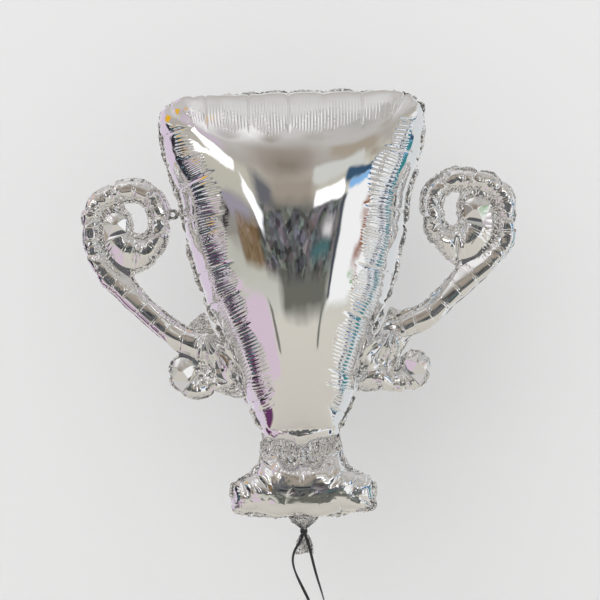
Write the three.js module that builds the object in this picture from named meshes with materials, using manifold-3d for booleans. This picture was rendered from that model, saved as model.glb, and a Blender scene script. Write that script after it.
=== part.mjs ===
// Trophy foil balloon, inflated, held upright by the ribbon tie on its filling neck.
// Millimetres, Z up, the front faces -Y. The origin is the ribbon tie.
import * as THREE from 'three';
import { mergeVertices } from 'three/addons/utils/BufferGeometryUtils.js';
import Module from 'manifold-3d';

const wasm = await Module();
wasm.setup();

// Driving sizes
const gap = 0.3; // left between pieces that touch
const bandHalf = 0.5; // half the thickness of a welded band
const wall = 10; // thickness of a chamber wall where there is room for it
const flange = 8; // welded border outside a chamber
const cupHeight = 766; // top edge of the cup above the tie
const cupDepth = 147; // front of the cup to the weld
const footDepth = 38;
const tubeRadius = 16; // handle tube
const ribbonWidth = 5;

const foil = { color: 0xd5d7da, roughness: 0.12, metalness: 1 };
const weldFoil = { color: 0xa9adb3, roughness: 0.35, metalness: 1 };
const ribbonBlack = { color: 0x0c0c0d, roughness: 0.6, metalness: 0 };

const balloon = new THREE.Group();

// Adds one named mesh with its own material
function add(name, geometry, look) {
  const mesh = new THREE.Mesh(geometry, new THREE.MeshStandardMaterial(look));
  mesh.name = name;
  balloon.add(mesh);
  return mesh;
}

// Closed geometry from corners and triangles, turned to face outward
function solid(corners, triangles) {
  let volume = 0;
  const a = new THREE.Vector3();
  const b = new THREE.Vector3();
  const c = new THREE.Vector3();
  for (const [i, j, k] of triangles) {
    a.fromArray(corners[i]);
    b.fromArray(corners[j]);
    c.fromArray(corners[k]);
    volume += a.dot(b.cross(c));
  }
  const facing = volume < 0 ? triangles.map(([i, j, k]) => [i, k, j]) : triangles;
  const geometry = new THREE.BufferGeometry();
  geometry.setAttribute('position', new THREE.Float32BufferAttribute(corners.flat(), 3));
  geometry.setIndex(facing.flat());
  geometry.computeVertexNormals();
  return geometry;
}

function toManifold(geometry) {
  const bare = geometry.clone();
  bare.deleteAttribute('normal');
  bare.deleteAttribute('uv');
  const merged = mergeVertices(bare, 1e-4);
  return new wasm.Manifold(new wasm.Mesh({
    numProp: 3,
    vertProperties: new Float32Array(merged.attributes.position.array),
    triVerts: new Uint32Array(merged.index.array),
  }));
}

function fromManifold(manifold) {
  const mesh = manifold.getMesh();
  const geometry = new THREE.BufferGeometry();
  geometry.setAttribute('position', new THREE.BufferAttribute(new Float32Array(mesh.vertProperties), 3));
  geometry.setIndex(new THREE.BufferAttribute(new Uint32Array(mesh.triVerts), 1));
  geometry.computeVertexNormals();
  return geometry;
}

function cut(geometry, ...tools) {
  return fromManifold(tools.reduce((kept, tool) => kept.subtract(toManifold(tool)), toManifold(geometry)));
}

// Points on a smooth curve through a few [x, z] points
function smooth(points, count, closed = false) {
  const curve = new THREE.CatmullRomCurve3(points.map(([x, z]) => new THREE.Vector3(x, 0, z)), closed, 'centripetal');
  const spaced = curve.getSpacedPoints(count).map((p) => [p.x, p.z]);
  return closed ? spaced.slice(0, -1) : spaced;
}

// Full outline from its right half, top centre to bottom centre
function mirrored(half) {
  const left = half.slice(1, -1).reverse().map(([x, z]) => [-x, z]);
  return [...half, ...left];
}

// Outline moved outward by a distance, or inward by a negative one
function offset(outline, distance) {
  const count = outline.length;
  const area = outline.reduce((sum, [x, z], i) => {
    const [u, w] = outline[(i + 1) % count];
    return sum + x * w - u * z;
  }, 0);
  const turn = area > 0 ? 1 : -1;
  return outline.map(([x, z], i) => {
    const [u, w] = outline[(i + count - 1) % count];
    const [p, q] = outline[(i + 1) % count];
    const along = new THREE.Vector2(p - u, q - w).normalize();
    return [x + turn * along.y * distance, z - turn * along.x * distance];
  });
}

// Outline drawn in toward its pole by the wall thickness
function inset(outline, pole) {
  return outline.map(([x, z]) => {
    const reach = Math.hypot(x - pole[0], z - pole[1]);
    const kept = 1 - wall / reach;
    return [pole[0] + (x - pole[0]) * kept, pole[1] + (z - pole[1]) * kept];
  });
}

// Flat closed band in the weld plane between two outlines of as many points
function ring(outline, opening) {
  const count = outline.length;
  const corners = [-bandHalf, bandHalf].flatMap((y) => [outline, opening].flatMap(
    (edge) => edge.map(([x, z]) => [x, y, z]),
  ));
  const triangles = [];
  const loops = [0, 1, 3, 2].map((k) => k * count);
  loops.forEach((first, k) => {
    const second = loops[(k + 1) % 4];
    for (let i = 0; i < count; i += 1) {
      const n = (i + 1) % count;
      triangles.push([first + i, second + i, second + n], [first + i, second + n, first + n]);
    }
  });
  return solid(corners, triangles);
}

// Flat plate in the weld plane
function plate(outline, half = bandHalf) {
  const shape = new THREE.Shape(outline.map(([x, z]) => new THREE.Vector2(x, z)));
  const geometry = new THREE.ExtrudeGeometry(shape, { depth: 2 * half, bevelEnabled: false });
  return geometry.rotateX(Math.PI / 2).translate(0, half, 0);
}

// Half of an inflated chamber: a domed shell between its outline and a pole.
// side is -1 for the front and 1 for the back.
function dome(outline, pole, depth, side, rings = 7) {
  const corners = [];
  const triangles = [];
  const count = outline.length;
  const inner = inset(outline, pole);
  const start = bandHalf + gap;
  const surface = (edge, deep) => {
    const first = corners.length;
    corners.push([pole[0], side * (start + deep), pole[1]]);
    for (let r = 1; r <= rings; r += 1) {
      const t = Math.sin((r / rings) * Math.PI / 2);
      const y = side * (start + deep * Math.sqrt(Math.max(0, 1 - t * t)));
      for (const [x, z] of edge) corners.push([pole[0] + (x - pole[0]) * t, y, pole[1] + (z - pole[1]) * t]);
    }
    return first;
  };
  const skin = (first, flip) => {
    const tri = (a, b, c) => triangles.push(flip ? [a, c, b] : [a, b, c]);
    for (let i = 0; i < count; i += 1) {
      const n = (i + 1) % count;
      tri(first, first + 1 + i, first + 1 + n);
      for (let r = 1; r < rings; r += 1) {
        const here = first + 1 + (r - 1) * count;
        const next = here + count;
        tri(here + i, next + i, next + n);
        tri(here + i, next + n, here + n);
      }
    }
    return first + 1 + (rings - 1) * count;
  };
  const outerRim = skin(surface(outline, depth), false);
  const innerRim = skin(surface(inner, depth - wall), true);
  for (let i = 0; i < count; i += 1) {
    const n = (i + 1) % count;
    triangles.push([outerRim + i, innerRim + i, innerRim + n], [outerRim + i, innerRim + n, outerRim + n]);
  }
  return solid(corners, triangles);
}

// Path points with the direction of the path at each: [x, z, direction x, direction z]
function directed(path) {
  return path.map(([x, z], i) => {
    const [u, w] = path[Math.max(0, i - 1)];
    const [p, q] = path[Math.min(path.length - 1, i + 1)];
    const along = new THREE.Vector2(p - u, q - w).normalize();
    return [x, z, along.x, along.y];
  });
}

// Half of an inflated tube along a directed path in the weld plane: a C-shaped section
function halfTube(path, radius, side, sectionSteps = 6) {
  const corners = [];
  const triangles = [];
  const start = bandHalf + gap;
  const bore = 0.5;
  const ring = 2 * (sectionSteps + 1);
  path.forEach(([x, z, dx, dz]) => {
    for (let k = 0; k < ring; k += 1) {
      const inside = k > sectionSteps;
      const step = inside ? ring - 1 - k : k;
      const angle = (step / sectionSteps) * Math.PI;
      const r = inside ? radius * bore : radius;
      const across = r * Math.cos(angle);
      const y = side * (start + (r - start) * Math.sin(angle));
      corners.push([x - dz * across, y, z + dx * across]);
    }
  });
  for (let i = 0; i < path.length - 1; i += 1) {
    for (let k = 0; k < ring; k += 1) {
      const here = i * ring + k;
      const next = i * ring + (k + 1) % ring;
      triangles.push([here, next, next + ring], [here, next + ring, here + ring]);
    }
  }
  const last = (path.length - 1) * ring;
  for (let k = 0; k < sectionSteps; k += 1) {
    const opposite = ring - 1 - k;
    triangles.push([k, opposite, opposite - 1], [k, opposite - 1, k + 1]);
    triangles.push([last + k, last + opposite - 1, last + opposite], [last + k, last + k + 1, last + opposite - 1]);
  }
  return solid(corners, triangles);
}

// Closed loop on both sides of a directed path, at a distance from it
function strip(path, distance) {
  const sides = [1, -1].map((way) => path.map(
    ([x, z, dx, dz]) => [x - dz * distance * way, z + dx * distance * way],
  ));
  return [...sides[0], ...sides[1].reverse()];
}

// Cup: one chamber, widest at the top, narrow at the neck
const cupCorner = 44;
const cupTopHalf = 233;
const cornerTurn = [0, 0.2, 0.4, 0.6, 0.8, 1].map((t) => {
  const angle = (1 - t) * Math.PI / 2;
  const x = cupTopHalf - cupCorner + cupCorner * Math.cos(angle);
  return [x, cupHeight - cupCorner + cupCorner * Math.sin(angle)];
});
const cupSide = smooth([
  [232, 706], [217, 656], [197, 585], [185, 510], [160, 409], [133, 338], [93, 233], [63, 166],
], 18);
const cupBottom = [[40, 158], [0, 156]];
const cupTop = [0, 40, 80, 120, 160].map((x) => [x, cupHeight + 4 * (1 - (x / 189) ** 2)]);
const cupOutline = mirrored([...cupTop, ...cornerTurn, ...cupSide, ...cupBottom]);
const cupPole = [0, 545];

// Foot: a stem that flares to a wide base
const footOutline = mirrored([
  ...smooth([[0, 112], [30, 121], [57, 143]], 4),
  ...smooth([[63, 139], [70, 119], [84, 102], [106, 93], [121, 86], [125, 75]], 9),
  ...smooth([[125, 46], [116, 35], [60, 32], [0, 31.5]], 8),
]);
const footPole = [0, 70];

// Neck weld: the flat lens between cup and foot
const neckOutline = mirrored([
  [0, 155.4], [40, 157.4], [64, 165], [76, 152], [72, 143], [57, 144], [30, 121.6], [0, 112.6],
]);

for (const [name, side] of [['front', -1], ['back', 1]]) {
  add(`cup_${name}_sheet`, dome(cupOutline, cupPole, cupDepth, side), foil);
  add(`foot_${name}_sheet`, dome(footOutline, footPole, footDepth, side, 5), foil);
}
const neckTool = plate(offset(neckOutline, gap), 2);
add('neck_weld', plate(neckOutline), weldFoil);

// Handle tube: a long arm from the root, then a scroll that winds inward
const armPoints = [[166, 326], [215, 353], [271, 397], [322, 448], [350, 493]];
const scrollCentre = [298, 551];
const scrollRadius = 61;
const scrollPoints = [];
for (let degrees = -5; degrees <= 290; degrees += 29.5) {
  const wound = Math.max(0, degrees - 215) / 135;
  const r = scrollRadius * (1 - wound * wound);
  const angle = degrees * Math.PI / 180;
  scrollPoints.push([scrollCentre[0] + r * Math.cos(angle), scrollCentre[1] + r * Math.sin(angle)]);
}
const handlePath = directed(smooth([...armPoints, ...scrollPoints], 46));
const armSteps = 17;
const armPath = handlePath.slice(0, armSteps + 1);
const scrollPath = handlePath.slice(armSteps);
const [startX, startZ, startDx, startDz] = scrollPath[0];
scrollPath[0] = [startX + gap * startDx, startZ + gap * startDz, startDx, startDz];
const lowerPath = directed(smooth([[136, 262], [150, 251.5], [166, 247], [182, 247]], 8));
const lowerRadius = 14;
const tubeFlange = 4;

// Root: where gas passes from the cup into the handle, and the web round it
const rootOutline = [
  [139, 340], [157, 341.5], [173.5, 311], [163, 290], [145.5, 274.5],
  [127, 251], [106, 254], [115, 280], [124, 303], [132.5, 326],
];
const rootPole = [138, 300];
const webOutline = [
  [150, 405], [172, 390], [170, 362], [180, 345], [200, 330], [186, 300], [176, 268], [160, 225],
  [120, 222], [85, 226], [105, 290],
];

// Scroll ends: each a round pillow
const tips = {
  upper_scroll: { x: 312, z: 543, wide: 24, tall: 30, deep: 22 },
  lower_scroll: { x: 205, z: 270, wide: 28, tall: 31, deep: 21 },
};

function pillow({ x, z, wide, tall, deep }, grow = 0) {
  const geometry = new THREE.SphereGeometry(1, 16, 9);
  geometry.scale(wide + grow, deep + grow, tall + grow);
  return geometry.translate(x, 0, z);
}

// Low dome with a flat back, for the root
function lens(outline, pole, deep, side) {
  const rings = 3;
  const start = bandHalf + gap;
  const corners = [[pole[0], side * (start + deep), pole[1]], [pole[0], side * start, pole[1]]];
  const triangles = [];
  const count = outline.length;
  for (let r = 1; r <= rings; r += 1) {
    const t = r / rings;
    const y = side * (start + deep * Math.sqrt(1 - t * t));
    for (const [x, z] of outline) corners.push([pole[0] + (x - pole[0]) * t, y, pole[1] + (z - pole[1]) * t]);
  }
  for (let i = 0; i < count; i += 1) {
    const n = (i + 1) % count;
    triangles.push([0, 2 + i, 2 + n]);
    for (let r = 0; r < rings - 1; r += 1) {
      const here = 2 + r * count;
      const next = here + count;
      triangles.push([here + i, next + i, next + n], [here + i, next + n, here + n]);
    }
    const rim = 2 + (rings - 1) * count;
    triangles.push([1, rim + n, rim + i]);
  }
  return solid(corners, triangles);
}

// Mirrored copy of a right-hand geometry for the left side
function onSide(geometry, way) {
  if (way > 0) return geometry;
  const bare = geometry.clone();
  bare.deleteAttribute('normal');
  bare.deleteAttribute('uv');
  const mirror = mergeVertices(bare, 1e-4).scale(-1, 1, 1);
  const order = mirror.index.array;
  for (let i = 0; i < order.length; i += 3) [order[i], order[i + 1]] = [order[i + 1], order[i]];
  mirror.computeVertexNormals();
  return mirror;
}

// Tools that leave the touching gap round the pieces in the weld plane
const cupTool = plate(offset(cupOutline, flange + gap), 2);
const armTool = plate(strip(armPath, tubeRadius + tubeFlange + gap), 2);
const scrollTool = plate(strip(scrollPath, tubeRadius + tubeFlange + gap), 2);
const lowerTool = plate(strip(lowerPath, lowerRadius + tubeFlange + gap), 2);
const tipTools = Object.fromEntries(Object.entries(tips).map(([name, tip]) => [name, pillow(tip, gap)]));

const bands = {
  arm: cut(plate(strip(armPath, tubeRadius + tubeFlange)), cupTool),
  upper_scroll: cut(plate(strip(scrollPath, tubeRadius + tubeFlange)), tipTools.upper_scroll),
  lower_scroll: cut(plate(strip(lowerPath, lowerRadius + tubeFlange)), cupTool, tipTools.lower_scroll),
};
const rootWeb = cut(plate(webOutline), cupTool, armTool, lowerTool, tipTools.lower_scroll);

for (const [sideName, way] of [['left', -1], ['right', 1]]) {
  for (const [name, side] of [['front', -1], ['back', 1]]) {
    add(`${sideName}_arm_${name}_sheet`, onSide(halfTube(armPath, tubeRadius, side), way), foil);
    const scroll = cut(halfTube(scrollPath, tubeRadius, side), tipTools.upper_scroll);
    add(`${sideName}_upper_scroll_${name}_sheet`, onSide(scroll, way), foil);
    const lower = cut(halfTube(lowerPath, lowerRadius, side), tipTools.lower_scroll);
    add(`${sideName}_lower_scroll_${name}_sheet`, onSide(lower, way), foil);
    add(`${sideName}_root_${name}_sheet`, onSide(lens(rootOutline, rootPole, 9, side), way), foil);
  }
  for (const [name, band] of Object.entries(bands)) {
    add(`${sideName}_${name}_weld_band`, onSide(band, way), weldFoil);
  }
  for (const [name, tip] of Object.entries(tips)) add(`${sideName}_${name}_tip`, onSide(pillow(tip), way), foil);
  add(`${sideName}_root_web`, onSide(rootWeb, way), weldFoil);
}

// Welded bands round the cup and the foot
add('cup_weld_band', cut(ring(offset(cupOutline, flange), inset(cupOutline, cupPole)), neckTool), weldFoil);
add('foot_weld_band', cut(ring(offset(footOutline, flange), inset(footOutline, footPole)), neckTool), weldFoil);

// Gas passage over the neck weld, front and back
const passageOutline = [[-9, 152], [9, 152], [9, 118], [-9, 118]];
for (const [name, side] of [['front', -1], ['back', 1]]) {
  add(`neck_passage_${name}`, lens(passageOutline, [0, 135], 5, side), foil);
}

// Hanging tab with a punched hole, on the left only, between the cup and the scroll
const tabCentre = [209, 560];
const circle = (radius, count) => Array.from({ length: count }, (_, i) => {
  const angle = (i / count) * 2 * Math.PI;
  return [tabCentre[0] + radius * Math.cos(angle), tabCentre[1] + radius * Math.sin(angle)];
});
const tab = cut(ring(circle(10, 20), circle(4, 20)), cupTool, scrollTool);
add('left_hang_tab', onSide(tab, -1), weldFoil);

// Filling neck: two flat plies at the foot, gathered at the tie, flared below it
// Columns: height, half width, half thickness
const neckSections = [
  [22.8, 26, 0.6], [16, 21, 1.2], [9, 12, 2.6], [3.2, 5, 4], [-3.2, 5, 4], [-9, 9, 3], [-20, 14, 1.6], [-40, 17, 0.8],
];
function loft(sections, around = 16) {
  const corners = [];
  const triangles = [];
  for (const [z, wide, thick] of sections) {
    for (let k = 0; k < around; k += 1) {
      const angle = (k / around) * 2 * Math.PI;
      corners.push([wide * Math.cos(angle), thick * Math.sin(angle), z]);
    }
  }
  for (let s = 0; s < sections.length - 1; s += 1) {
    for (let k = 0; k < around; k += 1) {
      const here = s * around + k;
      const next = s * around + (k + 1) % around;
      triangles.push([here, next, next + around], [here, next + around, here + around]);
    }
  }
  const last = (sections.length - 1) * around;
  for (let k = 1; k < around - 1; k += 1) {
    triangles.push([0, k + 1, k], [last, last + k, last + k + 1]);
  }
  return solid(corners, triangles);
}
add('filling_neck', loft(neckSections), foil);

// Ribbon: wound round the filling neck, knotted in front, two tails that hang
const loopProfile = [[5.4, -3], [7, -3], [7, 3], [5.4, 3], [5.4, -3]].map(([x, y]) => new THREE.Vector2(x, y));
add('ribbon_loop', new THREE.LatheGeometry(loopProfile, 24).rotateX(Math.PI / 2), ribbonBlack);
const knot = { wide: 13, deep: 5, tall: 6.4, y: -9.8 };
add('ribbon_knot', new THREE.BoxGeometry(knot.wide, knot.deep, knot.tall).translate(0, knot.y, 0), ribbonBlack);

const ribbonRoutes = {
  ribbon_tail_left: [
    [-2.9, -9.8, -3.5], [-2.9, -9.8, -5.5], [-3.8, -9.8, -10], [-6.8, -10, -16], [-11.5, -10.4, -23], [-16.4, -10.9, -31],
    [-19.7, -11.4, -40], [-20.8, -11.8, -50], [-19.2, -12, -61], [-15.5, -12, -73], [-10.5, -11.8, -85],
    [-5, -11.4, -97], [0.5, -10.8, -109], [5.5, -10, -121], [10, -9.2, -134], [13.8, -8.4, -148],
    [16.8, -7.7, -163], [18.8, -7.2, -179], [19.6, -7, -196], [19.2, -7.2, -214], [17.6, -7.8, -233],
    [15.2, -8.6, -252], [12.6, -9.5, -270],
  ],
  ribbon_tail_right: [
    [2.9, -9.8, -3.5], [2.9, -9.8, -5.5], [4, -9.8, -11], [6.2, -9.6, -18], [8.6, -9.2, -27], [10.9, -8.7, -37],
    [13.2, -8.1, -48], [15.8, -7.5, -60], [18.8, -6.9, -73], [22.2, -6.4, -86], [25.8, -6, -99],
    [29.3, -5.8, -112], [32.3, -5.9, -125], [35, -6.2, -139], [37.4, -6.8, -154], [39.6, -7.5, -170],
    [41.6, -8.4, -187], [43.2, -9.3, -205], [44, -10, -224], [43.6, -10.5, -243], [42, -10.8, -262],
  ],
};
const ribbonSection = new THREE.Shape(Array.from({ length: 8 }, (_, i) => {
  const angle = (i / 8) * 2 * Math.PI;
  return new THREE.Vector2(ribbonWidth / 2 * Math.cos(angle), ribbonWidth / 2 * Math.sin(angle));
}));
for (const [name, route] of Object.entries(ribbonRoutes)) {
  const path = new THREE.CatmullRomCurve3(route.map((p) => new THREE.Vector3(...p)), false, 'centripetal');
  add(name, new THREE.ExtrudeGeometry(ribbonSection, { steps: 28, extrudePath: path }), ribbonBlack);
}

export default balloon;
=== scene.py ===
"""Looks of an inflated trophy foil balloon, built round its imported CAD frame.

The balloon is two sheets of thin silver foil, cut flat and welded together along the outlines of its
chambers. The script cuts and welds the same flat sheets, blows gas in, and lets the foil crease.
Blender's unit is the metre; the flat cuts and the filling are worked out in millimetres."""
import math

import bpy
import numpy as np
from mathutils import Matrix, Vector
from mathutils.bvhtree import BVHTree
from mathutils.geometry import delaunay_2d_cdt
from mathutils.kdtree import KDTree


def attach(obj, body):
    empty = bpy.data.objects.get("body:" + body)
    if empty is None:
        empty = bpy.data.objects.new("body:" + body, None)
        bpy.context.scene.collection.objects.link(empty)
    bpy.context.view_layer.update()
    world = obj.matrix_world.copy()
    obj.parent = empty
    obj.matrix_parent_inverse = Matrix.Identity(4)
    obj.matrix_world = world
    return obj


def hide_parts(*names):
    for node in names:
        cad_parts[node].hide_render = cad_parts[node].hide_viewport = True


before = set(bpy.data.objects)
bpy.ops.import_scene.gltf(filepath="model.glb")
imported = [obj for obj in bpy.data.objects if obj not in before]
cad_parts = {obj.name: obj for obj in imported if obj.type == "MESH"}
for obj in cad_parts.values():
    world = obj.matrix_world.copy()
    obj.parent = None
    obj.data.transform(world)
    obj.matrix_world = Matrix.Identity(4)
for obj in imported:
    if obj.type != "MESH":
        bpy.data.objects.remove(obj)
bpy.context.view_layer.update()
MM = 0.001

# Camera
# Straight on to the balloon's weld plane, level with the middle of the picture.
# The picture leans by a small roll, so the trophy's top leans to the left.
picture_width = 1.05
film_width = 36
view_centre = Vector((0.0052, 0, 0.404))
camera_distance = 2.3
camera_roll = math.radians(-1.7)
camera_data = bpy.data.cameras.new("camera")
camera_data.sensor_width = film_width
camera_data.lens = film_width * camera_distance / picture_width
camera = bpy.data.objects.new("camera", camera_data)
camera.matrix_world = (Matrix.Translation(view_centre - Vector((0, camera_distance, 0)))
                       @ Matrix.Rotation(math.pi / 2, 4, "X") @ Matrix.Rotation(camera_roll, 4, "Z"))
bpy.context.scene.collection.objects.link(camera)
bpy.context.scene.camera = camera


# Ribbon tails
# One 0.6 m length of flat black ribbon, 5 mm wide, tied at its middle under the filling neck.
# Its two tails hang free, turn slowly as they fall, and end in a bare cut.
def unit(rows):
    """Each row divided by its length."""
    return rows / np.linalg.norm(rows, axis=1)[:, None]


def arc_lengths(line):
    """The length along a line up to each of its points: running sums of the distances between them."""
    return np.concatenate([[0], np.cumsum(np.linalg.norm(np.diff(line, axis=0), axis=1))])


def evenly(points, step, closed=False):
    """Points at equal spacing near step along a line or loop: linear interpolation by arc length."""
    line = np.vstack([points, points[:1]]) if closed else np.asarray(points, float)
    arc = arc_lengths(line)
    count = max(4, round(arc[-1] / step))
    at = np.linspace(0, arc[-1], count + 1)
    spaced = np.stack([np.interp(at, arc, line[:, k]) for k in range(line.shape[1])], 1)
    return spaced[:-1] if closed else spaced


def smooth_curve(points, step, closed=False):
    """Catmull-Rom curve through the points: between p1 and p2 it is half of
    2 p1 + (p2 - p0) t + (2 p0 - 5 p1 + 4 p2 - p3) t^2 + (3 p1 - p0 - 3 p2 + p3) t^3."""
    p = np.asarray(points, float)
    if closed:
        p = np.vstack([p[-1:], p, p[:2]])
    else:
        p = np.vstack([2 * p[0] - p[1], p, 2 * p[-1] - p[-2]])
    p0, p1, p2, p3 = p[:-3, None], p[1:-2, None], p[2:-1, None], p[3:, None]
    t = np.linspace(0, 1, 12, endpoint=False)[None, :, None]
    curve = 0.5 * (2 * p1 + (p2 - p0) * t + (2 * p0 - 5 * p1 + 4 * p2 - p3) * t**2
                   + (3 * p1 - p0 - 3 * p2 + p3) * t**3)
    curve = curve.reshape(-1, p.shape[1])
    if not closed:
        curve = np.vstack([curve, p[-2:-1]])
    return evenly(curve, step, closed)


def lay_mesh(name, corners, faces, sheet):
    """A smooth-shaded mesh object from corners in millimetres and rows of corner numbers.
    sheet gives each corner its place on the flat foil or ribbon, kept as the UV map."""
    corners = np.asarray(corners * MM, np.float32)
    faces = np.asarray(faces, np.int32)
    mesh = bpy.data.meshes.new(name)
    mesh.vertices.add(len(corners))
    mesh.vertices.foreach_set("co", corners.ravel())
    mesh.loops.add(faces.size)
    mesh.loops.foreach_set("vertex_index", faces.ravel())
    mesh.polygons.add(len(faces))
    mesh.polygons.foreach_set("loop_start", np.arange(0, faces.size, faces.shape[1], dtype=np.int32))
    mesh.polygons.foreach_set("use_smooth", np.ones(len(faces), bool))
    mesh.update(calc_edges=True)
    flat_map = mesh.uv_layers.new(name="sheet")
    flat_map.data.foreach_set("uv", np.asarray(sheet, np.float32)[faces].ravel())
    made = bpy.data.objects.new(name, mesh)
    bpy.context.scene.collection.objects.link(made)
    return made


def ring_quads(rings, around, closed=False):
    """Rows of four corner numbers between neighbouring rings of around points, numbered ring after ring."""
    ring = np.arange(rings if closed else rings - 1)[:, None] * around
    after = (ring + around) % (rings * around)
    k = np.arange(around)
    on = (k + 1) % around
    return np.stack([ring + k, ring + on, after + on, after + k], -1).reshape(-1, 4)


def tube_mesh(name, rings, sheet):
    """A closed skin over a grid of points, ring by ring, with a fan of faces at each end."""
    count, around = rings.shape[:2]
    body = ring_quads(count, around)[:, [0, 1, 2, 0, 2, 3]].reshape(-1, 3)
    k = np.arange(around)
    on, last = (k + 1) % around, (count - 1) * around
    ends = np.vstack([np.stack([on, k, np.full(around, count * around)], 1),
                      np.stack([last + k, last + on, np.full(around, count * around + 1)], 1)])
    corners = np.vstack([rings.reshape(-1, 3), rings[0].mean(0), rings[-1].mean(0)])
    flat = np.vstack([sheet.reshape(-1, 2), sheet[0].mean(0), sheet[-1].mean(0)])
    return lay_mesh(name, corners, np.vstack([body, ends]), flat)


def band_mesh(name, route, lean, flat_to=(1, 0, 0)):
    """A length of ribbon: a slab profile with round corners, |x / half width|^4 + |y / half thickness|^4 = 1,
    is carried along the route, turned by lean about it from the direction flat_to."""
    along = unit(np.gradient(route, axis=0))
    flat_to = np.array(flat_to, float)
    across = unit(flat_to - along * (along @ flat_to)[:, None])
    out = np.cross(across, along)
    wide = across * np.cos(lean)[:, None] + out * np.sin(lean)[:, None]
    high = out * np.cos(lean)[:, None] - across * np.sin(lean)[:, None]
    t = np.linspace(0, 2 * np.pi, 14, endpoint=False) + 0.1
    u = ribbon_width / 2 * np.sign(np.cos(t)) * np.abs(np.cos(t)) ** 0.5
    w = ribbon_thick / 2 * np.sign(np.sin(t)) * np.abs(np.sin(t)) ** 0.5
    rings = route[:, None] + wide[:, None] * u[None, :, None] + high[:, None] * w[None, :, None]
    return tube_mesh(name, rings, np.stack(np.broadcast_arrays(u, arc_lengths(route)[:, None]), -1))


def fit(piece, material, slot, *nodes):
    """The piece gets its material, rides on the balloon, and stands for its nodes; slot is not used."""
    piece.data.materials.append(material)
    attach(piece, "root")
    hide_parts(*nodes)


def node(tree, kind, sockets=(), **choices):
    """Adds a node with its own choices, and fills its sockets by link or by value."""
    made = tree.nodes.new("ShaderNode" + kind)
    for key, value in choices.items():
        setattr(made, key, value)
    for key, value in dict(sockets).items():
        if isinstance(value, bpy.types.NodeSocket):
            tree.links.new(value, made.inputs[key])
        else:
            made.inputs[key].default_value = value
    return made


def maths(tree, how, a, b=0.0, c=0.0):
    """One Math node's result, each side a socket or a number."""
    return node(tree, "Math", {0: a, 1: b, 2: c}, operation=how).outputs[0]


def finish_named(name, **values):
    """A new material and its shader, with values set on the shader's own sockets."""
    material = bpy.data.materials.new(name)
    material.use_nodes = True
    shader = material.node_tree.nodes["Principled BSDF"]
    for key, value in values.items():
        shader.inputs[key.replace("_", " ")].default_value = value
    return material, material.node_tree, shader


ribbon_width, ribbon_thick, tail_length = 5, 0.4, 270
ribbon_satin, tree, shader = finish_named("ribbon_satin", Roughness=0.34, Specular_IOR_Level=0.55,
                                          Sheen_Weight=0.12, Sheen_Roughness=0.4)
weave_map = node(tree, "UVMap", uv_map="sheet").outputs[0]
ribs = node(tree, "TexWave", {"Vector": weave_map, "Scale": 1.1, "Distortion": 0.15},
            wave_type="BANDS", bands_direction="DIAGONAL").outputs["Fac"]
threads = node(tree, "TexNoise", {"Vector": weave_map, "Scale": 2.2, "Detail": 3.0}).outputs["Fac"]
shade = node(tree, "MapRange", {"Value": threads, "From Min": 0.3, "From Max": 0.7}).outputs[0]
black = node(tree, "Mix", {0: shade, 6: (0.006, 0.006, 0.008, 1), 7: (0.018, 0.017, 0.02, 1)},
             data_type="RGBA").outputs[2]
tree.links.new(black, shader.inputs["Base Color"])
weave = node(tree, "Bump", {"Height": ribs, "Strength": 0.5, "Distance": 0.00015})
tree.links.new(weave.outputs[0], shader.inputs["Normal"])

tail_left_route = np.array([
    [-2.9, -9.8, -3.5], [-2.9, -9.8, -5.5], [-3.8, -9.8, -10], [-6.8, -10, -16], [-11.5, -10.4, -23],
    [-16.4, -10.9, -31], [-19.7, -11.4, -40], [-20.8, -11.8, -50], [-19.2, -12, -61], [-15.5, -12, -73],
    [-10.5, -11.8, -85], [-5, -11.4, -97], [0.5, -10.8, -109], [5.5, -10, -121], [10, -9.2, -134],
    [13.8, -8.4, -148], [16.8, -7.7, -163], [18.8, -7.2, -179], [19.6, -7, -196], [19.2, -7.2, -214],
    [17.6, -7.8, -233], [15.2, -8.6, -252], [12.6, -9.5, -270]])
tail_right_route = np.array([
    [2.9, -9.8, -3.5], [2.9, -9.8, -5.5], [4, -9.8, -11], [6.2, -9.6, -18], [8.6, -9.2, -27],
    [10.9, -8.7, -37], [13.2, -8.1, -48], [15.8, -7.5, -60], [18.8, -6.9, -73], [22.2, -6.4, -86],
    [25.8, -6, -99], [29.3, -5.8, -112], [32.3, -5.9, -125], [35, -6.2, -139], [37.4, -6.8, -154],
    [39.6, -7.5, -170], [41.6, -8.4, -187], [43.2, -9.3, -205], [44, -10, -224], [43.6, -10.5, -243],
    [42, -10.8, -262]])
for side, route, turns in (("left", tail_left_route, (0.1, 0.9, -0.5, 0.4, 1.1)),
                           ("right", tail_right_route, (-0.1, 0.5, 1.3, 0.2, -0.6))):
    path = smooth_curve(route, 1)
    lean = np.interp(np.linspace(0, 4, len(path)), range(5), turns)
    tail = band_mesh("ribbon_tail_" + side + "_strip", path, lean)
    fit(tail, ribbon_satin, "ribbon", "ribbon_tail_" + side)


# Cup, neck and foot
# Two sheets of thin silvered film, cut flat and welded along the outline with an 8 mm border.
# Gas fills the cup and, through a narrow passage in the crumpled neck, the foot under it.
def sides(line, closed=False):
    """Unit tangent and unit left-hand normal at each point of a line."""
    along = unit(np.roll(line, -1, 0) - np.roll(line, 1, 0) if closed else np.gradient(line, axis=0))
    return along, np.stack([-along[:, 1], along[:, 0]], 1)


def loop_area(loop):
    """Half the shoelace sum: positive where the loop runs anticlockwise."""
    x, z = loop.T
    return np.sum(x * np.roll(z, -1) - np.roll(x, -1) * z) / 2


def turned(loop):
    """The loop run anticlockwise."""
    return loop if loop_area(loop) > 0 else loop[::-1]


def grown(loop, width):
    """The loop moved outwards by width along its normals."""
    loop = turned(np.asarray(loop, float))
    return loop - sides(loop, True)[1] * width


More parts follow.
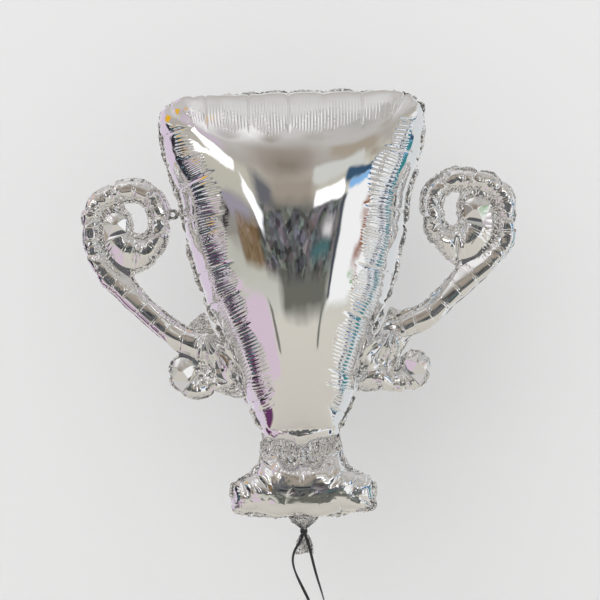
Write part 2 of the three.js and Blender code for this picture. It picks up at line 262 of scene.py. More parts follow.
def inside(points, loops):
    """Even-odd rule: a point is inside where its rightward ray crosses the loops an odd number of times."""
    x, z = points.T
    found = np.zeros(len(points), bool)
    for loop in loops:
        for (x1, z1), (x2, z2) in zip(loop, np.roll(loop, -1, 0)):
            if z1 != z2:
                found ^= ((z1 > z) != (z2 > z)) & (x < (x2 - x1) * (z - z1) / (z2 - z1) + x1)
    return found


def nearest(points, loops):
    """Distance from each point to the loops' nearest segment, and where on its loop that is, in segments."""
    best, spot = np.full(len(points), 1e9), np.zeros(len(points))
    for loop in loops:
        for k, (a, b) in enumerate(zip(loop, np.roll(loop, -1, 0))):
            d = b - a
            t = np.clip((points - a) @ d / max(d @ d, 1e-9), 0, 1)
            away = np.linalg.norm(points - a - t[:, None] * d, axis=1)
            closer = away < best
            best[closer], spot[closer] = away[closer], k + t[closer]
    return best, spot


def doubled_area(a, b, c):
    """Twice the signed area of each flat triangle: the cross product of two of its sides."""
    return (b - a)[:, 0] * (c - a)[:, 1] - (c - a)[:, 0] * (b - a)[:, 1]


def corners_of(points, faces):
    """The points at the faces' first, second and third corners."""
    return (points[faces[:, k]] for k in range(3))


def faced_up(flat, tris):
    """The flat faces, each with its corners run anticlockwise."""
    return np.where((doubled_area(*corners_of(flat, tris)) < 0)[:, None], tris[:, ::-1], tris)


def ramp(value, length):
    """From nought to one as the value goes from nought to length."""
    return np.clip(value / length, 0, 1)


def eased(t):
    """A smooth step, 3 t^2 - 2 t^3."""
    return t**2 * (3 - 2 * t)


def joined(outlines, smallest, step):
    """The border loops of overlapping outlines joined into one sheet, small ones left out."""
    points, faces = [], []
    for loop in outlines:
        faces.append(list(range(len(points), len(points) + len(loop))))
        points += [Vector(p) for p in turned(np.asarray(loop, float))]
    verts, _, tris, _, _, source = delaunay_2d_cdt(points, [], faces, 1, 1e-4)
    verts = np.array([tuple(v) for v in verts])
    pairs = {(f[k], f[k - 2]) for f, s in zip(tris, source) if s and len(f) == 3 for k in range(3)}
    after = {}
    for a, b in sorted(pairs):
        if (b, a) not in pairs:
            after.setdefault(a, []).append(b)
    loops = []
    while after:
        here, ring = min(after), []
        while here in after and here not in ring[:1]:
            ring.append(here)
            onward = after[here].pop()
            if not after[here]:
                del after[here]
            here = onward
        loop = verts[ring]
        if abs(loop_area(loop)) > smallest:
            loop = evenly(loop, step / 2, True)
            for _ in range(3):
                loop = loop / 2 + (np.roll(loop, 1, 0) + np.roll(loop, -1, 0)) / 4
            loops.append(evenly(loop, step, True))
    return loops


def face_edges(faces):
    """The three edges of each face, each as two corner numbers in rising order."""
    return np.sort(faces[:, [[0, 1], [1, 2], [2, 0]]], axis=2)


class Foil:
    """Two flat sheets of foil welded together everywhere but in the chambers.
    flat: place on the flat sheet; place: place in space, mm; layer: -1 front, 1 back, 0 welded;
    depth: distance from the weld line, positive inside a chamber; kind of face: 0 front, 1 back, 2 welded."""

    def __init__(self, chambers, cuts, step, rows, seed):
        chambers, cuts = joined(chambers, 400, step), joined(cuts, 250, step)
        fixed = chambers + cuts
        constraints, count = [], 0
        for loop in fixed:
            constraints += [(count + i, count + (i + 1) % len(loop)) for i in range(len(loop))]
            count += len(loop)
        welded_count = sum(len(loop) for loop in chambers)
        inner = []
        for row in range(1, rows + 1):
            for loop in chambers:
                points = grown(loop, -row * step)
                own = nearest(points, chambers)[0]
                gap = np.linalg.norm(points - np.roll(points, 1, 0), axis=1)
                keep = (own > (row - 0.3) * step) & inside(points, cuts) & (gap > 0.45 * step)
                inner.append(points[keep])
        low, high = np.vstack(cuts).min(0), np.vstack(cuts).max(0)
        height = step * math.sqrt(3) / 2
        wide = math.ceil(max(-low[0], high[0]) / step) + 1
        grid = np.array([((i + (k % 2) / 2) * step, low[1] + k * height)
                         for k in range(int((high[1] - low[1]) / height) + 1) for i in range(-wide, wide)])
        grid = grid[inside(grid, cuts)]
        edge = nearest(grid, fixed)[0]
        inner.append(grid[(edge > 0.6 * step) & (~inside(grid, chambers) | (edge > (rows + 0.6) * step))])
        points = np.vstack(fixed + inner)
        verts, _, tris, source, _, _ = delaunay_2d_cdt([Vector(p) for p in points], constraints, [], 0, 1e-6)
        flat = np.array([tuple(v) for v in verts])
        source = np.array([s[0] if s else -1 for s in source])
        tris = np.array([t for t in tris if len(t) == 3])
        tris = tris[inside(flat[tris].mean(1), cuts)]
        hollow = inside(flat[tris].mean(1), chambers)
        tris = faced_up(flat, tris)
        on_weld = (source >= 0) & (source < welded_count)
        in_hollow, in_weld = np.zeros(len(flat), bool), np.zeros(len(flat), bool)
        in_hollow[tris[hollow].ravel()] = True
        in_weld[tris[~hollow].ravel()] = True
        doubled = in_hollow & ~on_weld & ~in_weld
        twin = np.arange(len(flat))
        twin[doubled] = len(flat) + np.arange(doubled.sum())
        depth = nearest(flat, chambers)[0] * np.where(inside(flat, chambers), 1, -1)
        depth[on_weld] = 0
        self.flat = np.vstack([flat, flat[doubled]])
        self.layer = np.concatenate([np.where(doubled, -1.0, 0.0), np.ones(doubled.sum())])
        self.depth = np.concatenate([depth, depth[doubled]])
        self.faces = np.vstack([tris[hollow], twin[tris[hollow]][:, ::-1], tris[~hollow]])
        self.kind = np.repeat([0, 1, 2], [hollow.sum(), hollow.sum(), (~hollow).sum()])
        self.step, self.random = step, np.random.default_rng(seed)
        swollen = self.layer * np.minimum(self.depth, 40) * 0.3
        self.place = np.column_stack([self.flat[:, 0], swollen, self.flat[:, 1]])
        self.weld_edges = np.unique(face_edges(self.faces[self.kind == 2]).reshape(-1, 2), axis=0)
        self.sort_edges()

    def sort_edges(self):
        """Lists the edges, their flat lengths and the order in which reduceat sums them at each point."""
        self.edges = np.unique(face_edges(self.faces).reshape(-1, 2), axis=0)
        i, j = self.edges.T
        self.length = np.linalg.norm(self.flat[i] - self.flat[j], axis=1).astype(np.float32)
        ends = np.concatenate([i, j])
        self.edge_order = np.argsort(ends, kind="stable")
        self.edge_start = np.searchsorted(ends[self.edge_order], np.arange(len(self.flat)))
        self.both = (self.depth[i] <= 0) & (self.depth[j] <= 0)
        self.skin = self.faces[self.kind < 2]
        corners = self.skin.ravel()
        self.corner_order = np.argsort(corners, kind="stable")
        self.corner_point, self.corner_start = np.unique(corners[self.corner_order], return_index=True)

    def halve(self, chosen=None):
        """Cuts each face into four at its edges' middles. Faces that aren't chosen stay,
        or are cut in two where a neighbour cut one of their edges."""
        f, n = self.faces, len(self.flat)
        raw = face_edges(f)
        key = raw @ (n, 1)
        sheet = np.where(np.isin(key, self.weld_edges @ (n, 1)), 2, self.kind[:, None])
        keys, first, edge = np.unique((key * 3 + sheet).ravel(), return_index=True, return_inverse=True)
        edge = edge.reshape(-1, 3)
        pair, sheet = raw.reshape(-1, 2)[first], sheet.ravel()[first]
        full = np.ones(len(f), bool) if chosen is None else chosen.copy()
        while True:
            cut = np.zeros(len(keys), bool)
            cut[edge[full].ravel()] = True
            more = ~full & (cut[edge].sum(1) >= 2)
            if not more.any():
                break
            full |= more
        number = np.full(len(keys), -1)
        number[cut] = n + np.arange(cut.sum())
        a, b = pair[cut].T
        layer = np.sign((self.layer[a] + self.layer[b]) / 2)
        free = (layer == 0) & (sheet[cut] < 2)
        layer[free] = np.where(sheet[cut][free] == 0, -1, 1)
        self.place = np.vstack([self.place, (self.place[a] + self.place[b]) / 2])
        self.flat = np.vstack([self.flat, (self.flat[a] + self.flat[b]) / 2])
        self.depth = np.concatenate([self.depth, (self.depth[a] + self.depth[b]) / 2])
        self.layer = np.concatenate([self.layer, layer])
        split = np.nonzero((sheet == 2) & cut)[0]
        halves = [np.column_stack([pair[split, end], number[split]]) for end in (0, 1)]
        self.weld_edges = np.vstack([pair[(sheet == 2) & ~cut], *halves])
        m = number[edge]
        w = f[full]
        x, y, z = m[full].T
        faces = [np.stack([w[:, 0], x, z], 1), np.stack([w[:, 1], y, x], 1), np.stack([w[:, 2], z, y], 1),
                 np.stack([x, y, z], 1)]
        kinds = [self.kind[full]] * 4
        for k in range(3):
            half = ~full & (m[:, k] >= 0)
            p, q, r, mid = f[half, k], f[half, (k + 1) % 3], f[half, (k + 2) % 3], m[half, k]
            faces += [np.stack([p, mid, r], 1), np.stack([mid, q, r], 1)]
            kinds += [self.kind[half]] * 2
        whole = ~full & (m < 0).all(1)
        self.faces = np.vstack(faces + [f[whole]])
        self.kind = np.concatenate(kinds + [self.kind[whole]])
        self.step /= 2
        self.sort_edges()

    def fill(self, steps, gas, slack, goal, hold, level, shake=0.0, drag=0.03, pinned=None):
        """Blows gas in: every step each edge pulls with its stretch, and pushes with slack times its
        shortening; the gas pushes each free face along its normal; speed loses its drag share.
        hold pulls points towards their goal in x and z, and level pulls welds towards y = 0."""
        x = self.place.astype(np.float32)
        if shake:
            x[:, 1] += self.random.normal(0, shake, len(x)).astype(np.float32)
        speed, push = np.zeros_like(x), np.zeros_like(x)
        i, j = self.edges.T
        soft = np.where(self.both, 0.6, slack).astype(np.float32)
        flatten = (np.where(self.layer == 0, 1, 0.2) * level).astype(np.float32)
        for count in range(steps):
            d = x[j] - x[i]
            span = np.sqrt(np.einsum("ij,ij->i", d, d))
            stretch = span - self.length
            pull = (np.where(stretch > 0, 1, soft) * stretch / np.maximum(span, 1e-6))[:, None] * d
            force = np.add.reduceat(np.concatenate([pull, -pull])[self.edge_order], self.edge_start, axis=0)
            if count % 4 == 0:
                a, b, c = corners_of(x, self.skin)
                normal = np.repeat(np.cross(b - a, c - a) * np.float32(gas / 6), 3, axis=0)
                push[:] = 0
                normal = normal[self.corner_order]
                push[self.corner_point] = np.add.reduceat(normal, self.corner_start, axis=0)
            force += push
            force[:, ::2] += hold * (goal - x[:, ::2])
            force[:, 1] -= flatten * x[:, 1]
            speed = (1 - drag) * speed + force * 0.5
            if pinned is not None:
                speed[pinned] = 0
            x += speed * 0.5
        self.place = x.astype(float)

    def iron(self, share, passes, where=1.0):
        """Smooths: moves each point towards its neighbours' mean by share, times its own value of where."""
        i, j = self.edges.T
        count = np.bincount(np.concatenate([i, j]), minlength=len(self.flat))[:, None]
        ends = np.concatenate([j, i])[self.edge_order]
        weight = share * np.broadcast_to(where, len(self.flat))[:, None]
        for _ in range(passes):
            mean = np.add.reduceat(self.place[ends], self.edge_start, axis=0) / count
            self.place += weight * (mean - self.place)


# The weld as filled, (x, z), how far the flat cut lies beyond it, the depths between which pleats lie
# inside the weld, and how high they stand
cup_outline = [
    (0, 766, 0, 79, 80, 164, 0.42), (88, 764, 15, 74, 82, 150, 0.42), (166, 761, 28, 60, 74, 112, 0.36),
    (203, 755, 32, 47, 60, 80, 0.1), (226, 740, 38, 35, 40, 50, 0), (233, 712, 44, 28, 50, 62, 0.1),
    (228, 684, 52, 23, 64, 104, 0.45), (218, 640, 64, 15, 80, 124, 0.5), (204, 585, 67, 5, 84, 148, 0.5),
    (190.5, 509, 70, -7, 84, 146, 0.5), (161, 410, 69, -16, 70, 142, 0.5), (133, 338, 61, -18, 54, 136, 0.5),
    (107, 272, 48, -26, 44, 122, 0.48), (93, 233, 38, -33, 36, 104, 0.3), (66, 177, 20, -32, 30, 50, 0),
    (60, 163, 10, -32, 12, 22, 0), (0, 156, 0, -32, 10, 18, 0)]
cup_creases = [
    (-146, 764), (-73, 765), (-5, 766), (121, 763), (201, 756), (230, 700), (220, 647), (198, 554),
    (171, 441), (136, 347), (106, 269), (80, 205), (-82, 209), (-92, 229), (-133, 338), (-153, 390),
    (-174, 451), (-197, 547), (-206, 596), (-231, 691), (-215, 750)]
foot_outline = [
    (0, 112, 0, -31, 4, 34, 0.4), (31, 124, 2, -35, 6, 32, 0.35), (58, 145, 7, -38, 10, 44, 0.2),
    (65, 136, 9, -40, 16, 50, 0.2), (74, 116, 12, -39, 24, 52, 0.3), (89, 100, 14, -39, 24, 52, 0.35),
    (110, 91, 13, -44, 22, 48, 0.3), (122, 82, 11, -47, 14, 34, 0.15), (124, 44, 9, -58, 12, 34, 0.15),
    (112, 35, 7, -60, 10, 30, 0.15), (52, 30, 2, -73, 8, 26, 0.2), (0, 28, 0, -76, 8, 26, 0.2)]
foot_creases = [
    (0, 112), (36, 128), (66, 134), (78, 110), (96, 97), (121, 84), (124, 47), (70, 31), (-14, 28), (-84, 33),
    (-124, 46), (-121, 84), (-103, 94), (-82, 106), (-70, 122), (-40, 131)]
passage_cut = np.array([(-10, 135), (10, 135), (10, 70), (-10, 70)], float)
neck_cut = np.array([(-80, 138), (80, 138), (91, 117), (77, 89), (0, 68), (-77, 89), (-91, 117)], float)
weld_border = 8
pleat_width = 6.3


def both_halves(stations):
    """A closed smooth outline from its right half: the left half is the mirror image."""
    right = np.array(stations, float)
    left = right[1:-1][::-1] * np.array([-1, 1, -1, 1, 1, 1, 1])
    return smooth_curve(np.vstack([right, left]), 4, True)


def weld_springs(foil, welds, strength):
    """Where each welded point near a chamber belongs: its flat place less the draw of the nearest station."""
    near = np.nonzero((foil.layer == 0) & (foil.depth > -1.2 * foil.step - 2))[0]
    gap = ((foil.flat[near, None] - (welds[:, :2] + welds[:, 2:4])[None]) ** 2).sum(2)
    goal, hold = foil.flat.copy(), np.zeros(len(foil.flat))
    goal[near] -= welds[gap.argmin(1), 2:4]
    hold[near] = strength
    return goal.astype(np.float32), hold.astype(np.float32)[:, None]


def spaced(weld, step):
    """The weld's stations at equal spacing along its flat cut: flat place, inward normal, filled place,
    pleat begin, end and height, one row each step."""
    flat = weld[:, :2] + weld[:, 2:4]
    rows = np.hstack([flat, weld[:, :2], weld[:, 4:]])
    rows = np.vstack([rows, rows[:1]])
    arc = arc_lengths(rows[:, :2])
    count = round(arc[-1] / step)
    at = np.arange(count) * arc[-1] / count
    rows = np.stack([np.interp(at, arc, rows[:, k]) for k in range(rows.shape[1])], 1)
    normal = sides(rows[:, :2], True)[1] * np.sign(loop_area(rows[:, :2]))
    return np.hstack([rows[:, :2], normal, rows[:, 2:]])


def pleat_lattice(seam, creases):
    """Points on the flat sheet in rows along the weld, 4 mm apart, where pleats lie, and in five lines
    along each crease. Each has its place, its depth and its row number on the seam."""
    place, normal = seam[:, :2], seam[:, 2:4]
    begin, end, height = seam[:, 6:].T
    found = []
    for depth in np.arange(4, 184, 4.0):
        banded = (height > 0.05) & (depth > begin - 10) & (depth < end + 12)
        lined = np.zeros(len(seam), bool)
        for shift in (-3, -1, 0, 1, 3):
            lined[(creases + shift) % len(seam)] = True
        number = np.nonzero(banded | lined & (depth < end + 14))[0]
        points = place[number] + normal[number] * depth
        keep = nearest(points, [place[::4]])[0] > depth - 0.5
        found.append(np.column_stack([points, np.full(len(points), depth), number])[keep])
    found = np.vstack(found)
    tree = KDTree(len(found))
    for k, point in enumerate(found):
        tree.insert((*point[:2], 0), k)
    tree.balance()
    keep = np.ones(len(found), bool)
    for k, point in enumerate(found):
        if keep[k]:
            for _, other, _ in tree.find_range((*point[:2], 0), 0.5):
                keep[other] &= other <= k
    return found[keep], tree


def fine_sheet(foil, chosen, lattice, tree):
    """The chosen faces of one sheet, cut anew through the lattice's points, each laid where it falls in its
    old face, at the corners' mean weighted by the areas opposite them. Gives the place in space, the faces,
    the flat place, the depth, and the seam number or -1."""
    faces = foil.faces[chosen]
    back = foil.kind[chosen][0] == 1
    used = np.unique(faces)
    pairs, times = np.unique(face_edges(faces).reshape(-1, 2), axis=0, return_counts=True)
    rim = pairs[times == 1]
    far = np.array([tree.find((x, z, 0))[2] > 1.9 for x, z in foil.flat[used]])
    kept = used[far | np.isin(used, rim)]
    number = np.full(len(foil.flat), -1)
    number[kept] = np.arange(len(kept))
    old = [(x, z, 0) for x, z in foil.flat]
    carpet = BVHTree.FromPolygons(old, (faces[:, ::-1] if back else faces).tolist())
    hits = [carpet.ray_cast((x, z, 5), (0, 0, -1))[2] for x, z in lattice[:, :2]]
    lattice = lattice[[hit is not None for hit in hits]]
    on = faces[[hit for hit in hits if hit is not None]]
    a, b, c = corners_of(foil.flat, on)
    area = doubled_area(a, b, c)
    v = doubled_area(a, lattice[:, :2], c) / area
    w = doubled_area(a, b, lattice[:, :2]) / area
    shares = (1 - v - w, v, w)
    laid = sum(corner * share[:, None] for corner, share in zip(corners_of(foil.place, on), shares))
    flat = np.vstack([foil.flat[kept], lattice[:, :2]])
    place = np.vstack([foil.place[kept], laid])
    depth = np.concatenate([foil.depth[kept], lattice[:, 2]])
    seam_number = np.concatenate([np.full(len(kept), -1), lattice[:, 3]])
    _, _, tris, source, _, _ = delaunay_2d_cdt([Vector(p) for p in flat], number[rim].tolist(), [], 1, 1e-6)
    first = np.array([s[0] for s in source])
    tris = faced_up(flat, first[np.array([t for t in tris if len(t) == 3])])
    return place, tris[:, ::-1] if back else tris, flat, depth, seam_number


def point_normals(place, faces):
    """Unit normal at each point: the sum of its faces' normals, each as long as the face is large."""
    a, b, c = corners_of(place, faces)
    normal, total = np.cross(b - a, c - a), np.zeros_like(place)
    for k in range(3):
        np.add.at(total, faces[:, k], normal)
    return total / np.maximum(np.linalg.norm(total, axis=1), 1e-9)[:, None]


def press_pleats(place, faces, flat, depth, number, seam, creases, random):
    """The forms of the drawn-up foil on one sheet. Creases run in from the weld, 2.9 mm times exp(-distance /
    1.6 mm), and part it into sections. Each swells by swell times sin(pi share)^2 and ends inside in an
    arched edge. Between its begin and end depths stand fine pleats, height times cos(2 pi arc / width)."""
    near = np.nonzero(depth < 190)[0]
    arc = number[near].astype(float)
    loose = arc < 0
    arc[loose] = nearest(flat[near][loose], [seam[::4, :2]])[1] * 4
    step = np.linalg.norm(seam[1, :2] - seam[0, :2])
    row = seam[np.round(arc).astype(int) % len(seam)]
    begin, end, height = row[:, 6:].T
    creases = np.sort(creases)
    k = np.searchsorted(creases, arc) % len(creases)
    low, high = creases[k - 1], creases[k]
    width = (high - low) % len(seam)
    share = np.clip(((arc - low) % len(seam)) / width, 0, 1)
    level = (row[:, 5] > 750) | (row[:, 5] < 150)
    swell = np.where(level, 3.8, 2.0) * np.clip(width * step / 70, 0.5, 1.2)
    own = depth[near]
    arched = begin + (end - begin) * (0.72 + 0.28 * np.sin(np.pi * share) ** 0.7)
    reach = arched + 12
    u = own / reach
    profile = np.where(u < 0.62, np.sin(ramp(u, 0.62) * np.pi / 2) ** 2, ramp(1 - u, 0.38))
    raised = swell * profile * np.sin(np.pi * share) ** 2
    pleat = arc * step / pleat_width
    size = np.interp(pleat, np.arange(400), random.uniform(0.75, 1.2, 400))
    uneven = np.interp(pleat * 0.6, np.arange(400), random.uniform(-1.3, 1.3, 400))
    fade = eased(ramp(own - begin, 7) * ramp(arched + uneven - own, 6))
    small = height * size * fade * np.cos(2 * np.pi * pleat)
    away = np.minimum(share, 1 - share) * width * step
    run = ramp(own, 12) * ramp(reach + 8 - own, 30)
    strength = random.uniform(0.7, 1.3, len(creases))
    nearer = np.where(share < 0.5, k - 1, k) % len(creases)
    groove = 2.9 * strength[nearer] * run * np.exp(-away / 1.6)
    lift = raised + small - groove
    lift[own < 0.5] = 0
    place[near] += point_normals(place, faces)[near] * lift[:, None]


def fan_folds(foil, centre, reach, count, height, inner):
    """Folds fan out from a spot on the flat sheet: height times a rounded triangle wave of the bearing, count
    of them to a full turn, fading in over inner mm and out towards reach."""
    away = foil.flat - np.array(centre)
    out = np.hypot(*away.T)
    bearing = np.arctan2(away[:, 1], away[:, 0] * np.sign(centre[0]))
    wave = np.arcsin(0.95 * np.sin(bearing * count)) * 2 / np.pi
    fade = ramp(out, inner) * ramp(reach - out, reach / 2) * ramp(np.abs(foil.depth), 8)
    foil.place[:, 1] += np.where(foil.layer > 0, 1, -1) * height * wave * fade


def crumple(foil, random, size, height, where):
    """Fine sharp folds in the welded foil, growing towards its cut edge: height times the depth's share of
    the border, times a sum of triangle waves of the flat place."""
    weld = np.nonzero(foil.layer == 0)[0]
    share = np.clip(-foil.depth[weld] / weld_border, 0, 1.3) * where[weld]
    for axis, part in ((1, 1.0), (0, 0.3), (2, 0.3)):
        total = np.zeros(len(weld))
        for wave in random.normal(0, 1 / size, (4, 2)):
            total += np.arcsin(0.98 * np.sin(foil.flat[weld] @ wave * 2 * np.pi + random.uniform(0, 6)))
        foil.place[weld, axis] += part * height * share * total / 2


def foil_piece(name, foil, chosen):
    """One piece from the chosen faces, with the flat sheet's millimetres as its UV map."""
    used, corners = np.unique(foil.faces[chosen], return_inverse=True)
    return lay_mesh(name, foil.place[used], corners.reshape(-1, 3), foil.flat[used])


def foil_finish(name, smears, gloss, dents, strength, height, ripple=0):
    """Silvered film: a mirror whose gloss varies in smears, with shallow dents and, in free foil, a slow
    ripple. smears, dents and ripple are sizes of pattern; strength and height are the bump's own."""
    material, tree, shader = finish_named(name, Base_Color=(0.9, 0.9, 0.905, 1), Metallic=1.0)
    place = node(tree, "TexCoord").outputs["Object"]
    smears = node(tree, "TexNoise", {"Vector": place, "Scale": smears, "Detail": 4.0}).outputs[0]
    roughness = node(tree, "MapRange", {"Value": smears, "From Min": 0.35, "From Max": 0.75,
                                        "To Min": gloss[0], "To Max": gloss[1]}).outputs[0]
    tree.links.new(roughness, shader.inputs["Roughness"])
    dents = node(tree, "TexVoronoi", {"Vector": place, "Scale": dents}, feature="F1").outputs[0]
    if ripple:
        ripple = node(tree, "TexNoise", {"Vector": place, "Scale": ripple, "Detail": 1.0}).outputs[0]
        dents = maths(tree, "MULTIPLY_ADD", dents, 0.03, ripple)
    bump = node(tree, "Bump", {"Height": dents, "Strength": strength, "Distance": height})
    tree.links.new(bump.outputs[0], shader.inputs["Normal"])
    return material


silver_foil = foil_finish("silver_foil", 22.0, (0.03, 0.07), 45.0, 0.3, 0.0015, 16.0)
welded_foil = foil_finish("welded_foil", 60.0, (0.05, 0.11), 260.0, 0.14, 0.0012)

cup_weld, foot_weld = both_halves(cup_outline), both_halves(foot_outline)
welds = np.vstack([cup_weld, foot_weld])
cup_cut, foot_cut = (line[:, :2] + line[:, 2:4] for line in (cup_weld, foot_weld))
body = Foil([cup_cut, foot_cut, passage_cut],
            [grown(cup_cut, weld_border), grown(foot_cut, weld_border), neck_cut], 12, 5, 1)


def neck_level(foil):
    """How strongly the neck's weld is kept level, between the cup's bottom and the foot's top."""
    x, z = foil.flat.T
    return 1.5e-3 * ((np.abs(x) < 70) & (z > 70) & (z < 150) & (foil.layer == 0))


def round_bottom(foil):
    """Above the cup's bottom weld both sheets are drawn to a smooth arc: with t the share of the way up to
    50 mm above the weld, the sheets stand apart by their distance there times sqrt(1 - (1 - t)^2)."""
    x, z = foil.flat.T
    level = [foil.place[(foil.layer == side) & (np.abs(z - 174) < 4)] for side in (-1, 1)]
    weld = foil.place[(foil.depth == 0) & (z > 115) & (z < 150) & (np.abs(x) < 80)]
    weld = weld[weld[:, 0].argsort()]
    t = ramp(z - 126, 48)
    share = ramp(72 - np.abs(x), 20) * ramp(foil.depth + 2, 5) * ramp(z - 122, 4)
    for side, row in zip((-1, 1), level):
        row = row[row[:, 0].argsort()]
        chosen = np.nonzero((foil.layer == side) & (z < 174) & (share > 0))[0]
        here = foil.place[chosen]
        width = np.polyfit(row[:, 0], row[:, 1], 2)
        apart = np.polyval(width, here[:, 0]) * np.sqrt(1 - (1 - t[chosen]) ** 2)
        top = np.polyval(np.polyfit(row[:, 0], row[:, 2], 2), here[:, 0])
        low = np.interp(here[:, 0], weld[:, 0], weld[:, 2])
        goal = np.column_stack([here[:, 0], apart, low + (top - low) * t[chosen] ** 1.15])
        foil.place[chosen] += share[chosen, None] * (goal - here)


def square_shoulder(foil):
    """Under its top weld the foot's middle stands out almost upright: with t the depth in units of 70 mm, it
    stands 58 t^0.6 (1 - t)^2.6 mm further out between the two shoulders."""
    x, z = foil.flat.T
    t = ramp(foil.depth, 70)
    across = eased(ramp(60 - np.abs(x), 20)) * (z < 112) * (z > 0)
    foil.place[:, 1] += foil.layer * across * 58 * t**0.6 * (1 - t) ** 2.6


def in_web(foil):
    """The neck's part of the flat sheet, between the cup and the foot."""
    x, z = foil.flat.T
    return (np.abs(x) < 84) & (z > 66) & (z < 134)


def rib_neck(foil):
    """Upright ribs in the neck's flat web: 1.7 mm times cos(2 pi x / 10.5), fading in 5 mm from the weld."""
    x, z = foil.flat.T
    web = (foil.layer == 0) & in_web(foil)
    rib = 1.7 * np.cos(2 * np.pi * x / 10.5 + np.sin(z / 5)) * ramp(-foil.depth, 5)
    foil.place[web, 1] += rib[web]


# Rounds of filling: steps, gas, slack, the springs' strength, shake, drag, and whether it is halved after
for steps, gas, slack, strength, shake, drag, halved in (
        (1200, 4e-4, 0.02, 2e-3, 0, 0.03, True), (300, 2e-4, 0.03, 1e-3, 0.2, 0.03, False),
        (100, 2e-4, 0.3, 1e-3, 0.3, 0.03, True), (350, 1e-4, 0.5, 1.5e-3, 0.25, 0.05, False)):
    goal, hold = weld_springs(body, welds, strength)
    body.fill(steps, gas, slack, goal, hold, neck_level(body), shake, drag)
    if halved:
        body.halve()
body.iron(0.5, 10, ramp(body.depth - 6, 30))
body.halve((body.kind == 2) | (body.flat[body.faces].mean(1)[:, 1] < 100))
body.iron(0.5, 2)
body.place[:, 1] -= (body.place[:, 1].max() + body.place[:, 1].min()) / 2
round_bottom(body)
square_shoulder(body)
body.iron(0.5, 8, body.depth < -0.5)
rib_neck(body)
for x in (-1, 1):
    fan_folds(body, (272 * x, 778), 230, 24, 0.6, 90)
crumple(body, np.random.default_rng(11), 15, 2.3, 1 - 0.5 * in_web(body))
seams = {}
for where, weld, spots in (("cup", cup_weld, cup_creases), ("foot", foot_weld, foot_creases)):
    seam = spaced(weld, pleat_width / 6)
    creases = np.array([np.hypot(*(seam[:, 4:6] - spot).T).argmin() for spot in spots])
    seams[where] = (seam, creases, *pleat_lattice(seam, creases))

# The faces' parts, by their place on the flat sheet: foot, neck with its gas passage, and cup
x, z = body.flat[body.faces].mean(1).T
in_foot = z < 68
in_neck = ~in_foot & (np.abs(x) < 92) & (z < 124)
in_passage = in_neck & (np.abs(x) < 12) & (z > 84)
in_foot |= in_neck & (body.kind < 2) & (z < 114) & ~in_passage
in_neck &= (body.kind == 2) | in_passage
parts = (("cup", ~in_foot & ~in_neck, "cup_{}_sheet", "cup_weld_band"),
         ("neck", in_neck, "neck_passage_{}", "neck_weld"),
         ("foot", in_foot, "foot_{}_sheet", "foot_weld_band"))
for where, chosen, sheet_node, _ in parts:
    for kind, side in enumerate(("front", "back")):
        name, one_side = where + "_" + side + "_foil", chosen & (body.kind == kind)
        if where in seams:
            seam, creases, lattice, tree = seams[where]
            sheet = fine_sheet(body, one_side, lattice, tree)
            press_pleats(*sheet, seam, creases, np.random.default_rng(5 + kind))
            piece = lay_mesh(name, *sheet[:3])
        else:
            piece = foil_piece(name, body, one_side)
        fit(piece, silver_foil, "foil", sheet_node.format(side))
for where, chosen, _, weld_node in parts:
    piece = foil_piece(where + "_weld_border", body, chosen & (body.kind == 2))
    fit(piece, welded_foil, "weld", weld_node)


# Handles
# Each is one long welded tube of the same foil: an arm from a puckered root on the cup's side, rolled into
# an upper scroll, and a short lower scroll under it. Both scrolls end in a wide round end.
# Centre line as filled, (x, z), and half the width of the flat tube, in mm outwards from the cup's middle
right_upper = [
    (147, 317, 23), (166, 331, 23.5), (188, 350, 24.5), (232, 376, 24.5), (268, 403, 24), (304, 432, 23.5),
    (340, 464, 23), (365, 498, 23), (372, 533, 23), (369, 566, 22.8), (355, 588, 22.8), (329, 604, 22.5),
    (291, 607, 22), (265, 600, 21), (247, 581, 20), (241, 555, 19.5), (245, 527, 19.5), (259, 509, 21),
    (280, 503, 25), (303, 509, 31), (316, 530, 34), (314, 550, 33)]
left_upper = [
    (147, 317, 23), (166, 325, 23.5), (189, 337, 24.5), (215, 352, 24.5), (247, 376, 24), (281, 406, 23.5),
    (308, 433, 23), (332, 461, 23), (352, 499, 23), (358, 537, 23), (351, 571, 22.8), (326, 595, 22.8),
    (295, 603, 22.5), (262, 597, 22), (243, 576, 20), (236, 545, 19.5), (246, 516, 19.5), (270, 502, 25),
    (295, 510, 31), (307, 526, 34), (307, 544, 33)]
right_lower = [
    (128, 317, 19), (131, 296, 19), (139, 279, 19), (150, 264, 19), (166, 255, 19), (187, 255, 21),
    (202, 266, 25), (208, 283, 26)]
left_lower = [
    (126, 317, 19), (129.5, 296, 19), (136.5, 278, 19), (147, 262, 19), (163, 253, 19), (184, 253, 21),
    (200, 263, 25), (206, 279, 26)]
root_cut = np.array([
    (154, 369), (182, 352), (175, 313), (161, 296), (150.5, 264), (140, 236), (105, 243), (115.5, 271),
    (129.5, 313), (143.5, 345)], float)
root_web = np.array([
    (170, 408), (192.5, 376), (182, 334), (182, 282), (157.5, 226), (87.5, 219), (94.5, 236), (133, 324),
    (161, 390)], float)
joint_line = np.array([(164.5, 401), (93, 233)], float)
joint_length = np.linalg.norm(joint_line[1] - joint_line[0])
joint_way = (joint_line[1] - joint_line[0]) / joint_length
tube_border = 5.5


def spread(path, amount):
    """The path moved away from its centres of curvature: by amount where it turns tighter than 140 mm."""
    along, left = sides(path)
    length = np.linalg.norm(np.gradient(path, axis=0), axis=1)
    turn = np.einsum("ij,ij->i", np.gradient(along, axis=0), left) / length
    for _ in range(10):
        turn = np.convolve(np.pad(turn, 2, "edge"), [0.1, 0.2, 0.4, 0.2, 0.1], "valid")
    return path - left * (amount * np.tanh(turn * 145))[:, None]


